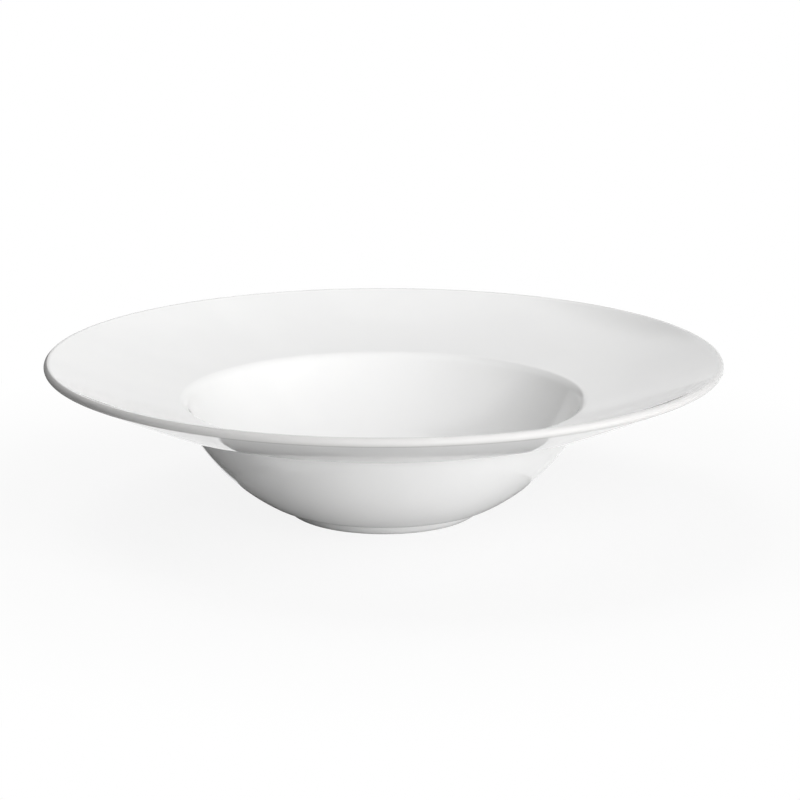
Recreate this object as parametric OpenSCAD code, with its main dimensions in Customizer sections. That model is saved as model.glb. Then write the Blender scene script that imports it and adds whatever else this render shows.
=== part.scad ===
// Pasta bowl: a wide-rimmed porcelain dish with a deep round well on a low foot ring.
// Every outline is a chain of circular arcs that meet at a tangent. The sizes below are
// those of the finished, glazed bowl. +Z is up, and the origin is the centre of the circle
// on which the bowl stands.

/* [Rim] */
// Outside diameter of the rim
rim_d = 280; // [250:1:320]
// Height of the rim above the table
overall_h = 66.4; // [60:0.2:74]
// Thickness of the rounded rim edge
edge_t = 3.6; // [3:0.1:4.8]
// Radius of the upward sweep of the rim's top face
top_sweep_r = 198; // [130:1:320]
// Radius of the upward sweep of the rim's underside, from its bend to the edge
under_sweep_r = 700; // [500:10:1500]
// Thickness of the rim at the bend in its underside
bend_t = 5.7; // [4.8:0.1:6.6]
// Rounding of the bend
bend_r = 30; // [15:1:50]
// Level width of the flatter ledge from the neck to the bend
ledge_w = 20.5; // [16:0.5:24]
// Radius of the upward sweep of the ledge
ledge_r = 300; // [200:5:500]

/* [Well] */
// Diameter of the mouth of the well, before its lip is rounded
well_d = 164.4; // [156:0.2:172]
// Height of the mouth of the well above the table
mouth_h = 48.8; // [45:0.2:53]
// Rounding of the lip between the rim and the well
lip_r = 5.5; // [3:0.5:9]
// Radius of the inside curve of the well
well_r = 70; // [60:1:80]
// Thickness of the flat floor
floor_t = 5.6; // [4:0.1:7.5]

/* [Wall] */
// Height of the rim's root, from the neck under it to the mouth of the well
root_t = 4.8; // [4.2:0.1:6.5]
// Thickness of the wall at the neck, measured level
wall_t = 3.85; // [3.4:0.05:5.5]
// Rounding in the corner at the neck
neck_r = 1.2; // [0.5:0.1:3]
// Radius of the long curve of the side, between the neck and the hip
side_r = 81; // [70:0.5:110]
// Radius of the hip, which turns in to the foot ring
hip_r = 23; // [16:1:30]
// Angle at the foot ring between the wall and a straight line from the foot ring to the neck
hip_turn = 35; // [28:0.5:38]

/* [Foot] */
// Diameter of the foot ring where the wall of the well meets it
foot_d = 83.6; // [78:0.2:90]
// Height of the foot ring at that diameter
foot_h = 4.4; // [3.6:0.1:5.4]
// Rounding in the corner above the foot ring
crease_r = 0.9; // [0.5:0.1:1.5]
// Width of the round flank between that diameter and the flat seat
flank_w = 6.7; // [5:0.1:9]
// Width of the flat seat
seat_w = 2.5; // [1.5:0.1:4]
// Height of the recess inside the foot ring
recess_h = 3.4; // [2.4:0.1:4.2]
// Radius of the two curves that lead from the seat into the recess
recess_r = 3.2; // [2.6:0.1:6]

/* [Glaze] */
// Thickness of the glaze
glaze_t = 0.3; // [0.2:0.05:0.4]
// Height of the band on the foot ring that is wiped free of glaze
bare_h = 0.4; // [0.2:0.05:0.7]

/* [Hidden] */

$fn = 180;
// Straight steps in which each arc of an outline is drawn
arc_steps = 14;

glaze_colour = [0.96, 0.96, 0.95];
porcelain_colour = [0.90, 0.89, 0.86];

// Every point below is [distance from the axis, height above the table].
edge_r = edge_t / 2;
floor_h = recess_h + floor_t;

// The inside curve of the well is level at the floor and passes through the mouth
mouth = [well_d / 2, mouth_h];
well_c_h = floor_h + well_r;
well_c = [mouth.x - well_half(mouth.y), well_c_h];

// Sharp corners of the outside, before they are rounded
neck_h = mouth_h - root_t;
neck = [well_c.x + well_half(neck_h) + wall_t, neck_h];
foot = [foot_d / 2, foot_h];
seat_r = foot.x - flank_w;
seat_in_r = seat_r - seat_w;

// Slope of the wall at the foot ring, from level
hip_slope = heading(foot, neck) - hip_turn;

// Centres of the rim's top face and of its rounded edge
edge_c = [rim_d / 2 - edge_r, overall_h - edge_r];
top_c = meet(mouth, top_sweep_r, edge_c, top_sweep_r + edge_r);

// The bend lies at its own depth under the top face, and the ledge runs to it from the neck
bend_far = top_sweep_r + bend_t;
bend_slope = asin((neck.x + ledge_w - top_c.x) / bend_far);
bend_c = top_c + (bend_far - bend_r) * [sin(bend_slope), -cos(bend_slope)];
ledge_c = meet(neck, ledge_r, bend_c, ledge_r - bend_r);

// Centres of the other arcs
under_c = meet(bend_c, under_sweep_r - bend_r, edge_c, under_sweep_r - edge_r);
hip_c = foot + hip_r * [-sin(hip_slope), cos(hip_slope)];
side_c = meet(hip_c, side_r - hip_r, neck, side_r);
lip_c = meet(well_c, well_r + lip_r, top_c, top_sweep_r + lip_r, -1);
neck_c = meet(side_c, side_r + neck_r, ledge_c, ledge_r + neck_r, -1);
flank_r = ((foot.x - seat_r) ^ 2 + foot.y ^ 2) / (2 * foot.y);
flank_c = [seat_r, flank_r];
crease_c = meet(flank_c, flank_r + crease_r, hip_c, hip_r + crease_r, -1);

// The recess rises from the seat in two equal arcs, one out and one back
recess_turn = acos(1 - recess_h / (2 * recess_r));
recess_out_c = [seat_in_r, recess_r];
recess_in_c = recess_out_c - 2 * recess_r * [sin(recess_turn), cos(recess_turn)];

// Turn of each foot arc from the seat to the line where the glaze stops
flank_bare = acos(1 - bare_h / flank_r);
recess_bare = acos(1 - bare_h / recess_r);

// Angle on the well's inside curve where the floor ends, straight above the foot's corner
floor_end = -acos((foot.x - well_c.x) / well_r);

// Level distance from the centre of the well's inside curve to the curve, at height h
function well_half(h) = sqrt(well_r ^ 2 - (well_c_h - h) ^ 2);

// The point at distance ra from a and rb from b, to the left of the way from a to b,
// or to its right where side is -1
function meet(a, ra, b, rb, side = 1) =
    let (
        way = b - a,
        gap = norm(way),
        along = (gap ^ 2 + ra ^ 2 - rb ^ 2) / (2 * gap),
        across = side * sqrt(ra ^ 2 - along ^ 2)
    )
    a + (along * way + across * [-way.y, way.x]) / gap;

// Direction from a to b, in degrees
function heading(a, b) = atan2(b.y - a.y, b.x - a.x);

function arc(centre, r, from, to) =
    [for (i = [0 : arc_steps])
        let (a = from + (to - from) * i / arc_steps)
        centre + r * [cos(a), sin(a)]];

function reversed(path) = [for (i = [len(path) - 1 : -1 : 0]) path[i]];

// Stretches of the outline. Each lies at depth t under the finished surface, so t = 0 is the
// outside of the glaze and t = glaze_t is the porcelain under it.
function floor_top(t) =
    concat([[0, floor_h - t]], arc(well_c, well_r + t, -90, floor_end));
function wall_inside(t) =
    concat(
        arc(well_c, well_r + t, floor_end, heading(well_c, lip_c)),
        arc(lip_c, lip_r - t, heading(lip_c, well_c), heading(lip_c, top_c))
    );
function rim_top(t) =
    arc(top_c, top_sweep_r + t, heading(top_c, lip_c), heading(top_c, edge_c));
function rim_edge(t) =
    concat(
        arc(edge_c, edge_r - t, heading(edge_c, top_c), 90),
        arc(edge_c, edge_r - t, 90, 0),
        arc(edge_c, edge_r - t, 0, heading(under_c, edge_c))
    );
function rim_under(t) =
    concat(
        arc(under_c, under_sweep_r - t, heading(under_c, edge_c), heading(under_c, bend_c)),
        arc(bend_c, bend_r - t, heading(under_c, bend_c), heading(ledge_c, bend_c)),
        arc(ledge_c, ledge_r - t, heading(ledge_c, bend_c), heading(ledge_c, neck_c))
    );
function wall_outside(t) =
    concat(
        arc(neck_c, neck_r + t, heading(neck_c, ledge_c), heading(neck_c, side_c)),
        arc(side_c, side_r - t, heading(side_c, neck_c), heading(side_c, hip_c)),
        arc(hip_c, hip_r - t, heading(side_c, hip_c), heading(hip_c, crease_c))
    );
function foot_crease(t) =
    arc(crease_c, crease_r + t, heading(crease_c, hip_c), heading(crease_c, flank_c));
function foot_flank(t) =
    arc(flank_c, flank_r - t, heading(flank_c, crease_c), flank_bare - 90);
function foot_seat() =
    concat(
        arc(flank_c, flank_r, flank_bare - 90, -90),
        arc(recess_out_c, recess_r, -90, -90 - recess_bare)
    );
function recess_side(t) =
    concat(
        arc(recess_out_c, recess_r - t, -90 - recess_bare, -90 - recess_turn),
        arc(recess_in_c, recess_r + t, 90 - recess_turn, 90)
    );
function recess_top(t) = [recess_side(t)[len(recess_side(t)) - 1], [0, recess_h + t]];

// A solid turned about the axis from a closed outline
module turned(outline) {
    rotate_extrude() polygon(outline);
}

// The wide rim, from the neck to its rounded edge
module rim() {
    color(porcelain_colour)
        turned(concat(rim_top(glaze_t), rim_edge(glaze_t), rim_under(glaze_t)));
}

// The round side of the well, from the floor up to the rim
module well_wall() {
    color(porcelain_colour)
        turned(concat(wall_inside(glaze_t), wall_outside(glaze_t)));
}

// The floor of the well, over the foot ring
module well_floor() {
    color(porcelain_colour)
        turned(concat(
            floor_top(glaze_t),
            foot_crease(glaze_t),
            recess_top(glaze_t)
        ));
}

// The ring that the bowl stands on, with its seat bare of glaze
module foot_ring() {
    color(porcelain_colour)
        turned(concat(
            foot_flank(glaze_t),
            foot_seat(),
            recess_side(glaze_t)
        ));
}

function coat_path(t) =
    concat(
        floor_top(t), wall_inside(t), rim_top(t), rim_edge(t),
        rim_under(t), wall_outside(t), foot_crease(t), foot_flank(t)
    );

// The glaze over the whole bowl, inside and out, down to the wiped band on the foot ring
module glaze_coat() {
    color(glaze_colour)
        turned(concat(coat_path(0), reversed(coat_path(glaze_t))));
}

function recess_path(t) = concat(recess_side(t), recess_top(t));

// The glaze that the wiped foot ring leaves by itself, under the floor
module recess_glaze() {
    color(glaze_colour)
        turned(concat(recess_path(0), reversed(recess_path(glaze_t))));
}

rim();
well_wall();
well_floor();
foot_ring();
glaze_coat();
recess_glaze();
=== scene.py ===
import bpy
import math
import numpy as np
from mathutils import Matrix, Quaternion, Vector


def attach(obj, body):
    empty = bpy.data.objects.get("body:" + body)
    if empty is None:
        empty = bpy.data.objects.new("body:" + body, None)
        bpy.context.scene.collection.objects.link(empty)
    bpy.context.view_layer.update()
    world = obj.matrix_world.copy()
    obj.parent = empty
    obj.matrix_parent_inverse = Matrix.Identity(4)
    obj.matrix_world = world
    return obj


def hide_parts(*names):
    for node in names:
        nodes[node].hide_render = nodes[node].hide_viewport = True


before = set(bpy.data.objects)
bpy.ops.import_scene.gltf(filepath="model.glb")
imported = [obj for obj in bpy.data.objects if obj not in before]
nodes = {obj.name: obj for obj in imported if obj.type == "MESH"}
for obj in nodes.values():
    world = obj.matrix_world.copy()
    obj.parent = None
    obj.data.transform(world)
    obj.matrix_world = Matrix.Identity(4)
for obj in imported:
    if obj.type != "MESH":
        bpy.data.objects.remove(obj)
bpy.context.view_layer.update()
scene = bpy.context.scene
print("frame loaded:", ", ".join(sorted(nodes)))


# a shader socket that takes part in sums and products; each step adds one Math node
class Wire:
    def __init__(self, tree, socket=None):
        self.tree = tree
        self.socket = socket

    # any node: its type, its settings, then the values or links of its sockets
    def node(self, kind, settings=None, sockets=None, out=0):
        made = self.tree.nodes.new(kind)
        for key, value in (settings or {}).items():
            setattr(made, key, value)
        for key, value in (sockets or {}).items():
            if isinstance(value, Wire):
                self.tree.links.new(value.socket, made.inputs[key])
            else:
                made.inputs[key].default_value = value
        return Wire(self.tree, made.outputs[out] if made.outputs else None)

    def maths(self, operation, a, b):
        return self.node("ShaderNodeMath", {"operation": operation}, {0: a, 1: b})

    def __add__(self, other): return self.maths("ADD", self, other)
    def __radd__(self, other): return self.maths("ADD", other, self)
    def __sub__(self, other): return self.maths("SUBTRACT", self, other)
    def __rsub__(self, other): return self.maths("SUBTRACT", other, self)
    def __mul__(self, other): return self.maths("MULTIPLY", self, other)
    def __rmul__(self, other): return self.maths("MULTIPLY", other, self)

    # 0 below the first value, 1 above the second, with a soft ramp between them
    def ramp(self, low, high):
        return self.node("ShaderNodeMapRange", {"interpolation_type": "SMOOTHSTEP"}, {
            "Value": self, "From Min": low, "From Max": high, "To Min": 0.0, "To Max": 1.0})

    # soft noise of about 0 to 1, scale spots to the metre
    def noise(self, place, scale, detail):
        return self.node("ShaderNodeTexNoise", None, {
            "Vector": place, "Scale": scale, "Detail": detail})

    # the first colour where share is 0, the second where it is 1
    def blend(self, share, first, second):
        ends = [c if isinstance(c, Wire) else (*c, 1.0) for c in (first, second)]
        sockets = {0: share, 6: ends[0], 7: ends[1]}
        return self.node("ShaderNodeMix", {"data_type": "RGBA"}, sockets, out=2)

    # distance from the bowl's axis: the length of x and y
    def fromAxis(self, place):
        level = self.node("ShaderNodeVectorMath", {"operation": "MULTIPLY"}, {
            0: place, 1: (1.0, 1.0, 0.0)})
        return self.node("ShaderNodeVectorMath", {"operation": "LENGTH"}, {0: level}, out=1)

    # direction of a surface that is raised by a height in metres
    def raised(self, height):
        return self.node("ShaderNodeBump", None, {
            "Strength": 1.0, "Distance": 1.0, "Height": height})


# an empty material and a wire to hang its nodes on
def newMaterial(name):
    material = bpy.data.materials.new(name)
    material.use_nodes = True
    material.node_tree.nodes.clear()
    return material, Wire(material.node_tree)


# sizes of the glazed bowl in millimetres and degrees, as in the part's source
bowl = {
    "rimD": 280.0, "overallH": 66.4, "edgeT": 3.6, "topSweepR": 198.0, "underSweepR": 700.0,
    "bendT": 5.7, "bendR": 30.0, "ledgeW": 20.5, "ledgeR": 300.0,
    "wellD": 164.4, "mouthH": 48.8, "lipR": 5.5, "wellR": 70.0, "floorT": 5.6,
    "rootT": 4.8, "wallT": 3.85, "neckR": 1.2, "sideR": 81.0, "hipR": 23.0, "hipTurn": 35.0,
    "footD": 83.6, "footH": 4.4, "creaseR": 0.9, "flankW": 6.7, "seatW": 2.5,
    "recessH": 3.4, "recessR": 3.2, "glazeT": 0.3, "bareH": 0.4,
}

# how the sections are drawn and turned
turning = {
    "leastSteps": 2,                   # in an arc
    "sameSpot": 1e-6,                  # millimetres between points that count as one
    "onAxis": 1e-9,                    # metres from the axis that count as on it
    "metres": 0.001,                   # in a millimetre
    "sharpFrom": 50.0,                 # degrees between faces from which an edge shows
    "floorRings": (0.0, 0.33, 0.67),   # shares of a flat's radius at which it has rings
    "recessRings": (0.5, 0.0),
}


# the point ra from a and rb from b, left of the way from a to b, or right of it where side is -1
def meet(a, ra, b, rb, side=1):
    way = b - a
    gap = np.hypot(*way)
    along = (gap ** 2 + ra ** 2 - rb ** 2) / (2 * gap)
    across = side * math.sqrt(ra ** 2 - along ** 2)
    return a + (along * way + across * np.array([-way[1], way[0]])) / gap


# direction from a to b in degrees: the angle whose tangent is rise over run
def heading(a, b):
    return math.degrees(math.atan2(b[1] - a[1], b[0] - a[0]))


# unit vector square to a slope, on its left: (-sin, cos)
def square(degrees):
    return np.array([-math.sin(math.radians(degrees)), math.cos(math.radians(degrees))])


# turn on a circle of radius r, in degrees, over which it rises by h from its lowest point:
# the angle whose cosine is 1 - h / r
def riseTurn(h, r):
    return math.degrees(math.acos(1 - h / r))


# an arc: centre + r (cos a, sin a), a running evenly from start to end in steps that are no
# wider than the grain's turn and no longer than its length
def arc(centre, r, start, end, grain):
    turn = abs(end - start)
    byTurn = math.ceil(turn / grain["turn"])
    byLength = math.ceil(math.radians(turn) * r / grain["length"])
    a = np.radians(np.linspace(start, end, max(turning["leastSteps"], byTurn, byLength) + 1))
    return centre + r * np.stack([np.cos(a), np.sin(a)], axis=1)


# points of a level flat at height h: shares of its radius r
def flatPoints(r, h, shares):
    return np.stack([r * np.array(shares), np.full(len(shares), h)], axis=1)


# stretches set end to end, each shared end kept once
def chain(*stretches):
    path = np.concatenate(stretches)
    fresh = np.hypot(*np.diff(path, axis=0).T) > turning["sameSpot"]
    return path[np.concatenate([[True], fresh])]


# half of the bowl's section at depth t under the finished surface, as [distance from the axis,
# height]: circles that touch their neighbours, cut at the points of touch
def outline(t, grain):
    s = bowl
    edgeR = s["edgeT"] / 2
    floorH = s["recessH"] + s["floorT"]
    wellH = floorH + s["wellR"]
    wellHalf = lambda h: math.sqrt(s["wellR"] ** 2 - (wellH - h) ** 2)
    mouth = np.array([s["wellD"] / 2, s["mouthH"]])
    wellC = np.array([mouth[0] - wellHalf(mouth[1]), wellH])
    neckH = s["mouthH"] - s["rootT"]
    neck = np.array([wellC[0] + wellHalf(neckH) + s["wallT"], neckH])
    foot = np.array([s["footD"] / 2, s["footH"]])
    seatR = foot[0] - s["flankW"]

    # rim: the bend lies at its own depth under the top face, and the ledge runs to it
    edgeC = np.array([s["rimD"] / 2 - edgeR, s["overallH"] - edgeR])
    topC = meet(mouth, s["topSweepR"], edgeC, s["topSweepR"] + edgeR)
    bendFar = s["topSweepR"] + s["bendT"]
    bendSlope = math.degrees(math.asin((neck[0] + s["ledgeW"] - topC[0]) / bendFar))
    bendC = topC - (bendFar - s["bendR"]) * square(bendSlope)
    ledgeC = meet(neck, s["ledgeR"], bendC, s["ledgeR"] - s["bendR"])
    underC = meet(bendC, s["underSweepR"] - s["bendR"], edgeC, s["underSweepR"] - edgeR)

    # wall, with the lip inside and the neck outside
    hipC = foot + s["hipR"] * square(heading(foot, neck) - s["hipTurn"])
    sideC = meet(hipC, s["sideR"] - s["hipR"], neck, s["sideR"])
    lipC = meet(wellC, s["wellR"] + s["lipR"], topC, s["topSweepR"] + s["lipR"], -1)
    neckC = meet(sideC, s["sideR"] + s["neckR"], ledgeC, s["ledgeR"] + s["neckR"], -1)

    # foot: its flank is level at the seat, and the recess rises in two equal arcs
    flankR = (s["flankW"] ** 2 + foot[1] ** 2) / (2 * foot[1])
    flankC = np.array([seatR, flankR])
    creaseC = meet(flankC, flankR + s["creaseR"], hipC, s["hipR"] + s["creaseR"], -1)
    recessTurn = riseTurn(s["recessH"] / 2, s["recessR"])
    outC = np.array([seatR - s["seatW"], s["recessR"]])
    inC = outC - 2 * s["recessR"] * np.array(
        [math.sin(math.radians(recessTurn)), math.cos(math.radians(recessTurn))])
    flankBare = riseTurn(s["bareH"], flankR)
    recessBare = riseTurn(s["bareH"], s["recessR"])

    # from one direction to another on a circle
    def run(centre, r, start, end):
        return arc(centre, r, start, end, grain)

    return {
        "well": chain(
            flatPoints(wellC[0], floorH - t, turning["floorRings"]),
            run(wellC, s["wellR"] + t, -90, heading(wellC, lipC)),
            run(lipC, s["lipR"] - t, heading(lipC, wellC), heading(lipC, topC))),
        "rim": chain(
            run(topC, s["topSweepR"] + t, heading(topC, lipC), heading(topC, edgeC)),
            run(edgeC, edgeR - t, heading(edgeC, topC), 90),
            run(edgeC, edgeR - t, 90, 0),
            run(edgeC, edgeR - t, 0, heading(underC, edgeC)),
            run(underC, s["underSweepR"] - t, heading(underC, edgeC), heading(underC, bendC)),
            run(bendC, s["bendR"] - t, heading(underC, bendC), heading(ledgeC, bendC)),
            run(ledgeC, s["ledgeR"] - t, heading(ledgeC, bendC), heading(ledgeC, neckC))),
        "wall": chain(
            run(neckC, s["neckR"] + t, heading(neckC, ledgeC), heading(neckC, sideC)),
            run(sideC, s["sideR"] - t, heading(sideC, neckC), heading(sideC, hipC)),
            run(hipC, s["hipR"] - t, heading(sideC, hipC), heading(hipC, creaseC))),
        "crease": run(creaseC, s["creaseR"] + t, heading(creaseC, hipC), heading(creaseC, flankC)),
        "flank": run(flankC, flankR - t, heading(flankC, creaseC), flankBare - 90),
        "seat": chain(
            run(flankC, flankR, flankBare - 90, -90),
            run(outC, s["recessR"], -90, -90 - recessBare)),
        "recess": chain(
            run(outC, s["recessR"] - t, -90 - recessBare, -90 - recessTurn),
            run(inC, s["recessR"] + t, 90 - recessTurn, 90)),
        "recessFlat": flatPoints(inC[0], s["recessH"] + t, turning["recessRings"]),
    }


# a path carried round the axis: x = r cos a, y = r sin a, z = h; an end on the axis becomes one
# point, and a loop is joined from its last ring to its first
def lathe(name, path, around, loop=False):
    path = np.asarray(path) * turning["metres"]
    a = np.arange(around) * 2 * np.pi / around
    poleFirst, poleLast = [not loop and path[k, 0] < turning["onAxis"] for k in (0, -1)]
    rings = path[int(poleFirst):len(path) - int(poleLast)]
    r, h = rings[:, :1], np.broadcast_to(rings[:, 1:], (len(rings), around))
    verts = np.stack([r * np.cos(a), r * np.sin(a), h], axis=2).reshape(-1, 3)
    i = np.arange(len(rings) if loop else len(rings) - 1)[:, None]
    j = np.arange(around)[None]
    iNext, jNext = (i + 1) % len(rings), (j + 1) % around
    corners = (i * around + j, iNext * around + j, iNext * around + jNext, i * around + jNext)
    faces = np.stack(np.broadcast_arrays(*corners), axis=2).reshape(-1, 4).tolist()
    if poleFirst:
        verts = np.concatenate([verts, [[0, 0, path[0, 1]]]])
        pole = np.full(around, len(verts) - 1)
        faces += np.stack([pole, j[0], jNext[0]], axis=1).tolist()
    if poleLast:
        verts = np.concatenate([verts, [[0, 0, path[-1, 1]]]])
        pole = np.full(around, len(verts) - 1)
        last = (len(rings) - 1) * around
        faces += np.stack([last + j[0], pole, last + jNext[0]], axis=1).tolist()
    mesh = bpy.data.meshes.new(name)
    mesh.from_pydata(verts.tolist(), [], faces)
    mesh.polygons.foreach_set("use_smooth", np.ones(len(faces), dtype=bool))
    mesh.set_sharp_from_angle(angle=math.radians(turning["sharpFrom"]))
    mesh.update()
    piece = bpy.data.objects.new(name, mesh)
    scene.collection.objects.link(piece)
    return piece


# a piece gets its finish, rides on the bowl's one body and stands for a CAD node
def dress(piece, material, slot, *replaced):
    mesh = piece.data
    mesh.materials.append(material)
    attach(piece, "root")
    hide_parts(*replaced)
    mesh.calc_loop_triangles()
    print("piece:", piece.name, len(mesh.loop_triangles), "triangles")


glazeLook = {
    "white": (0.90, 0.90, 0.895), "shade": (0.875, 0.875, 0.872),  # they cloud into each other
    "cloudScale": 16.0, "cloudDetail": 3.0,
    "cloudFrom": 0.35, "cloudMiddle": 0.5, "cloudTo": 0.65,
    # the rim's edge is painted greyer: partly for glaze that thins over it, partly as painted shade
    # that darkens the bead
    "thinAndShadedWhite": (0.65, 0.645, 0.638),                             # over the edge of the rim,
    "thinAndShadedFrom": 0.1372, "thinAndShadedTo": 0.1388,                          # by metres from the axis
    "roughness": 0.03, "roughnessDrift": 0.02, "ior": 1.5,
    "swellScale": 24.0, "swellDetail": 1.0, "swellDepth": 0.000015,  # left by the fire, in metres
    "peelScale": 420.0, "peelDetail": 2.0, "peelDepth": 0.000002,
}


# white glaze: nearly even in colour but greyer over the rim's edge, partly for thin glaze and
# partly as painted shade, glossy, with a slow swell and a fine peel in its surface
def glazeMaterial():
    look = glazeLook
    material, root = newMaterial("whiteGlaze")
    place = root.node("ShaderNodeTexCoord", out="Object")
    cloud = root.noise(place, look["cloudScale"], look["cloudDetail"])
    swell = root.noise(place, look["swellScale"], look["swellDetail"])
    peel = root.noise(place, look["peelScale"], look["peelDetail"])
    clouded = root.blend(
        cloud.ramp(look["cloudFrom"], look["cloudTo"]), look["white"], look["shade"])
    # mask of the rim's edge, where the painted shade and the thinner glaze go
    edgeThinAndShaded = root.fromAxis(place).ramp(look["thinAndShadedFrom"], look["thinAndShadedTo"])
    surface = root.node("ShaderNodeBsdfPrincipled", None, {
        "Base Color": root.blend(edgeThinAndShaded, clouded, look["thinAndShadedWhite"]),
        "Roughness": look["roughness"] + look["roughnessDrift"] * (cloud - look["cloudMiddle"]),
        "Normal": root.raised(look["swellDepth"] * swell + look["peelDepth"] * peel),
        "IOR": look["ior"],
    })
    root.node("ShaderNodeOutputMaterial", None, {"Surface": surface})
    return material


porcelainLook = {
    "clay": (0.78, 0.76, 0.71), "worn": (0.62, 0.60, 0.56),
    "wearScale": 60.0, "wearDetail": 3.0, "wearFrom": 0.45, "wearTo": 0.7,
    "roughness": 0.55, "roughnessDrift": 0.3,
    "grainScale": 700.0, "grainDetail": 4.0, "grainDepth": 0.00002,
    "ringScale": 2600.0, "ringDetail": 1.0, "ringDepth": 0.00001,  # grinding marks round the seat
}


# bare porcelain: matt and a little sandy, ground in fine rings round the axis
def porcelainMaterial():
    look = porcelainLook
    material, root = newMaterial("barePorcelain")
    place = root.node("ShaderNodeTexCoord", out="Object")
    ringPlace = root.node("ShaderNodeCombineXYZ", None, {"X": root.fromAxis(place)})
    ring = root.noise(ringPlace, look["ringScale"], look["ringDetail"])
    grain = root.noise(place, look["grainScale"], look["grainDetail"])
    spots = root.noise(place, look["wearScale"], look["wearDetail"])
    wear = spots.ramp(look["wearFrom"], look["wearTo"])
    surface = root.node("ShaderNodeBsdfPrincipled", None, {
        "Base Color": root.blend(wear * ring, look["clay"], look["worn"]),
        "Roughness": look["roughness"] + look["roughnessDrift"] * grain,
        "Normal": root.raised(look["grainDepth"] * grain + look["ringDepth"] * ring),
    })
    root.node("ShaderNodeOutputMaterial", None, {"Surface": surface})
    return material


whiteGlaze = glazeMaterial()
barePorcelain = porcelainMaterial()
for name in ("rim", "well_wall", "well_floor", "foot_ring"):
    nodes[name].data.materials.clear()
    nodes[name].data.materials.append(barePorcelain)
print("materials made")

# glaze over the whole bowl down to the bare seat: finished face out, hidden face on the porcelain
coat = {
    "around": 256,
    "face": {"turn": 4.0, "length": 2.0},     # degrees and millimetres to a step, at most
    "hidden": {"turn": 9.0, "length": 8.0},
    "order": ("well", "rim", "wall", "crease", "flank"),
}
face, hidden = outline(0.0, coat["face"]), outline(bowl["glazeT"], coat["hidden"])
facePath = chain(*[face[k] for k in coat["order"]])
hiddenPath = chain(*[hidden[k] for k in coat["order"]])
coatPath = np.concatenate([facePath, hiddenPath[::-1]])
glazeCoat = lathe("glazeCoat", coatPath, coat["around"])
dress(glazeCoat, whiteGlaze, "glaze", "glaze_coat")

# patch of glaze inside the foot ring
patch = {"around": 144, "face": {"turn": 4.0, "length": 1.0}}
face, hidden = outline(0.0, patch["face"]), outline(bowl["glazeT"], patch["face"])
facePath, hiddenPath = [chain(part["recess"], part["recessFlat"]) for part in (face, hidden)]
recessGlaze = lathe("recessGlaze", np.concatenate([hiddenPath[::-1], facePath]), patch["around"])
dress(recessGlaze, whiteGlaze, "glaze", "recess_glaze")

# ring that the bowl stands on, with its bare seat
ring = {"around": 144, "face": {"turn": 4.0, "length": 0.6}}
face, hidden = outline(0.0, ring["face"]), outline(bowl["glazeT"], ring["face"])
ringPath = chain(hidden["flank"], face["seat"], hidden["recess"])
footRing = lathe("footRing", ringPath, ring["around"], loop=True)
dress(footRing, barePorcelain, "porcelain", "foot_ring")

# pale floor: the camera sees it nearly white, with the bowl's shadow; the glaze mirrors only the
# round patch that the bowl stands on, and beyond the patch it mirrors the surroundings
stageFloor = {
    "half": 6.0, "pale": 0.72,
    "nearShare": 0.88, "whiteFrom": 0.10, "whiteTo": 0.30,
    "patchCentre": (0.0, -0.017, 0.0), "patchRadius": 0.075, "patchSoft": 0.001,
}


# 1 for a ray of that sort and 0 for any other
def rays(root, sort):
    return root.node("ShaderNodeLightPath", out="Is " + sort + " Ray")


# distance from a point of the floor
def distance(root, place, point):
    return root.node("ShaderNodeVectorMath", {"operation": "DISTANCE"}, {0: place, 1: point}, out=1)


# white share for the camera = ramp of the distance from the axis, from the near share up to 1;
# clear share for mirrored rays = 1 outside the patch
def makeFloor():
    f = stageFloor
    h = f["half"]
    mesh = bpy.data.meshes.new("floor")
    mesh.from_pydata([(-h, -h, 0), (h, -h, 0), (h, h, 0), (-h, h, 0)], [], [(0, 1, 2, 3)])
    material, root = newMaterial("paleFloor")
    place = root.node("ShaderNodeTexCoord", out="Object")
    far = distance(root, place, (0.0, 0.0, 0.0)).ramp(f["whiteFrom"], f["whiteTo"])
    seen = rays(root, "Camera") * (f["nearShare"] + (1.0 - f["nearShare"]) * far)
    outside = distance(root, place, f["patchCentre"]).ramp(
        f["patchRadius"] - f["patchSoft"], f["patchRadius"] + f["patchSoft"])
    clear = (rays(root, "Glossy") + rays(root, "Transmission")) * outside
    matt = root.node("ShaderNodeBsdfDiffuse", None, {"Color": (*[f["pale"]] * 3, 1.0)})
    white = root.node("ShaderNodeEmission", None, {"Color": (1.0, 1.0, 1.0, 1.0), "Strength": 1.0})
    seeThrough = root.node("ShaderNodeBsdfTransparent")
    mixed = root.node("ShaderNodeMixShader", None, {0: seen, 1: matt, 2: white})
    mixed = root.node("ShaderNodeMixShader", None, {0: clear, 1: mixed, 2: seeThrough})
    root.node("ShaderNodeOutputMaterial", None, {"Surface": mixed})
    mesh.materials.append(material)
    return bpy.data.objects.new("floor", mesh)


floor = makeFloor()
scene.collection.objects.link(floor)

# white surroundings for the camera and for what the glaze mirrors, but dark at the left towards
# the back: x and y of the direction between which white turns dark
studio = {"leftFrom": -0.17, "leftTo": -0.24, "backFrom": 0.05, "backTo": 0.35, "dark": 0.05}


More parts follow.
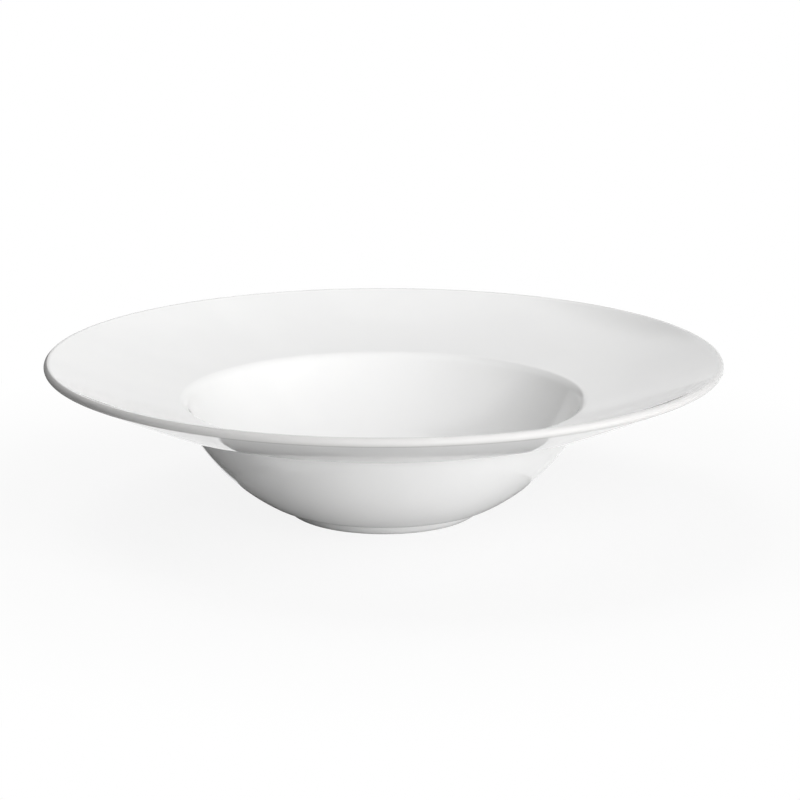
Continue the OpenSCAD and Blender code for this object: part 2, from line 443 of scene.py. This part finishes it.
# strength = 1 for the camera; for mirrored rays 1 less the dark share, the product of two ramps
def makeSurroundings():
    d = studio
    world = bpy.data.worlds.new("studio")
    scene.world = world
    world.use_nodes = True
    world.node_tree.nodes.clear()
    root = Wire(world.node_tree)
    way = root.node("ShaderNodeTexCoord", out="Generated")
    x = root.node("ShaderNodeSeparateXYZ", None, {0: way}, out="X")
    y = root.node("ShaderNodeSeparateXYZ", None, {0: way}, out="Y")
    left = (-1.0 * x).ramp(-d["leftFrom"], -d["leftTo"])
    dark = (1.0 - d["dark"]) * left * y.ramp(d["backFrom"], d["backTo"])
    mirrored = (rays(root, "Glossy") + rays(root, "Transmission")) * (1.0 - dark)
    strength = rays(root, "Camera") + mirrored
    back = root.node("ShaderNodeBackground", None, {
        "Color": (1.0, 1.0, 1.0, 1.0), "Strength": strength})
    root.node("ShaderNodeOutputWorld", None, {"Surface": back})


makeSurroundings()

# soft lamps: degrees round from the front to the right, degrees up, metres across and high, watts
lamps = {
    "key": {"round": 38, "up": 35, "size": (1.1, 1.1), "watts": 13.0},
    "low": {"round": 30, "up": 9, "size": (1.1, 0.5), "watts": 12.6},
    "side": {"round": 45, "up": 20, "size": (1.1, 0.5), "watts": 5.1},
    "back": {"round": 225, "up": 60, "size": (1.1, 1.1), "watts": 13.5},
}
lampStand = {"off": 1.6, "aim": (0.0, 0.0, 0.05)}


# a lamp at the aim + off (sin a cos e, -cos a cos e, sin e), turned to face the aim
def hangLamp(name, spec):
    a, e = math.radians(spec["round"]), math.radians(spec["up"])
    way = Vector((math.sin(a) * math.cos(e), -math.cos(a) * math.cos(e), math.sin(e)))
    light = bpy.data.lights.new(name, "AREA")
    light.shape, light.energy = "ELLIPSE", spec["watts"]
    light.size, light.size_y = spec["size"]
    lamp = bpy.data.objects.new(name, light)
    lamp.location = Vector(lampStand["aim"]) + lampStand["off"] * way
    lamp.rotation_euler = (-way).to_track_quat("-Z", "Y").to_euler()
    lamp.visible_camera = False
    lamp.visible_glossy = False
    scene.collection.objects.link(lamp)


for name, spec in lamps.items():
    hangLamp(name, spec)
print("stage and", len(lamps), "lamps set")

# seen from a little above, the centre of the rim's edge left of and above the picture's middle
view = {
    "up": 12.87, "off": 1.3482, "focalPixels": 3260.0, "framePixels": 800, "roll": 0.05,
    "rimCentre": (0.0, 0.0, 0.0646), "rimPixel": (383.9, 359.85),
    "sensor": 36.0, "clip": (0.05, 50.0),
}


# the camera stands off from the rim's centre at the angle up, and looks past it by the pixels
# between that centre and the middle of the picture, over the focal length in pixels
def placeCamera(v):
    e = math.radians(v["up"])
    toCamera = Vector((0, -math.cos(e), math.sin(e)))
    right, above = Vector((1, 0, 0)), Vector((0, math.sin(e), math.cos(e)))
    middle = v["framePixels"] / 2
    aside, down = [(middle - p) / v["focalPixels"] for p in v["rimPixel"]]
    look = right * aside - above * down - toCamera
    lens = bpy.data.cameras.new("camera")
    lens.sensor_width = v["sensor"]
    lens.lens = v["sensor"] * v["focalPixels"] / v["framePixels"]
    lens.clip_start, lens.clip_end = v["clip"]
    stand = bpy.data.objects.new("camera", lens)
    stand.location = Vector(v["rimCentre"]) + toCamera * v["off"]
    turn = look.to_track_quat("-Z", "Y") @ Quaternion((0, 0, 1), math.radians(v["roll"]))
    stand.rotation_euler = turn.to_euler()
    scene.collection.objects.link(stand)
    scene.camera = stand


placeCamera(view)
scene.view_settings.view_transform = "Standard"
print("camera placed")
